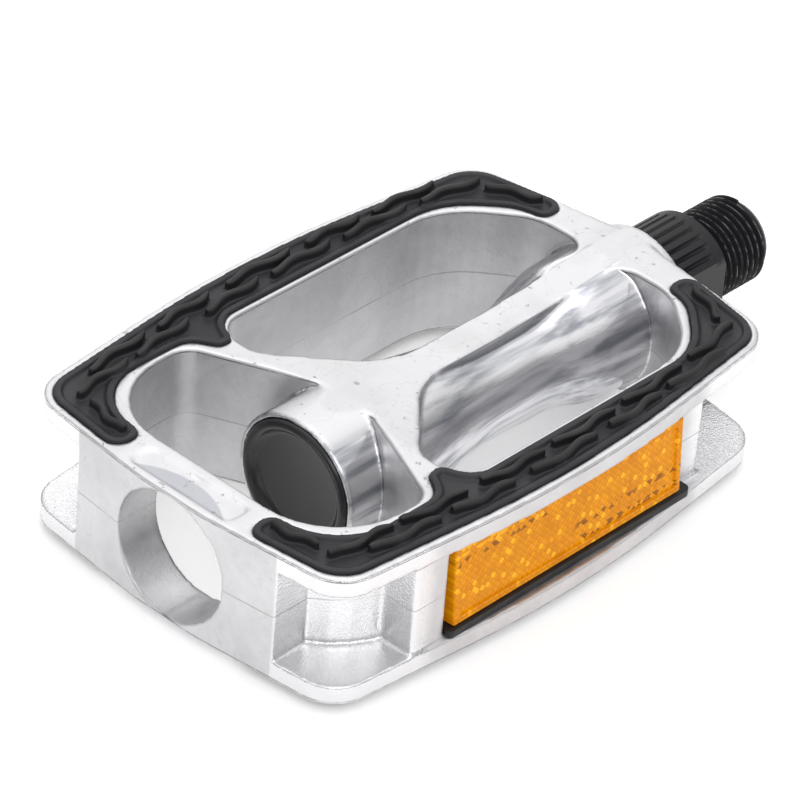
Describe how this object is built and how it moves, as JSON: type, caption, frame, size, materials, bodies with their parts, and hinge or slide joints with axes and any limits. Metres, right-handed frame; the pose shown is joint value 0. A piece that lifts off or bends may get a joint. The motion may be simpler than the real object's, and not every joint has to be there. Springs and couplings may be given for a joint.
{
  "type": "flat pedal",
  "caption": "Flat bicycle pedal: cast cage with rubber grips on both faces and amber side reflectors, turning on a threaded spindle with ball bearings.",
  "frame": {"origin": "on the spindle axis, at the shoulder that meets the crank arm", "axes": "+X along the spindle, out along the crank thread; +Y across the cage; +Z normal to the top face"},
  "size_m": [0.1238, 0.069, 0.0248],
  "materials": {
    "cage_casting": "satin cast and polished",
    "black_steel": "black oxide",
    "bearing_steel": "ground",
    "ball_steel": "polished",
    "zinc_steel": "zinc plated",
    "grip_rubber": "moulded, matte",
    "seal_rubber": "matte",
    "cap_plastic": "gloss",
    "amber_lens": "prismatic, clear amber",
    "holder_plastic": "satin"
  },
  "bodies": {
    "spindle": {"spindle": "black_steel", "outboard_cone": "bearing_steel", "lock_washer": "zinc_steel", "lock_nut": "zinc_steel"},
    "cage": {"cage_body": "cage_casting", "inboard_cup": "bearing_steel", "outboard_cup": "bearing_steel", "inboard_seal": "seal_rubber", "dust_cap": "cap_plastic", "top_front_grip": "grip_rubber", "top_rear_grip": "grip_rubber", "bottom_front_grip": "grip_rubber", "bottom_rear_grip": "grip_rubber", "front_reflector_lens": "amber_lens", "rear_reflector_lens": "amber_lens", "front_reflector_holder": "holder_plastic", "rear_reflector_holder": "holder_plastic", "front_reflector_screws": "zinc_steel", "rear_reflector_screws": "zinc_steel"},
    "inboard_ball_ring": {"inboard_balls": "ball_steel"},
    "outboard_ball_ring": {"outboard_balls": "ball_steel"}
  },
  "joints": [
    {"name": "pedal_spin", "type": "hinge", "parent": "spindle", "child": "cage", "pos_m": [0, 0, 0], "axis": [1, 0, 0], "continuous": true},
    {"name": "inboard_ball_orbit", "type": "hinge", "parent": "spindle", "child": "inboard_ball_ring", "pos_m": [0, 0, 0], "axis": [1, 0, 0], "continuous": true},
    {"name": "outboard_ball_orbit", "type": "hinge", "parent": "spindle", "child": "outboard_ball_ring", "pos_m": [0, 0, 0], "axis": [1, 0, 0], "continuous": true}
  ],
  "couplings": [
    {"joint": "inboard_ball_orbit", "follows": "pedal_spin", "ratio": 0.5791},
    {"joint": "outboard_ball_orbit", "follows": "pedal_spin", "ratio": 0.5791}
  ]
}
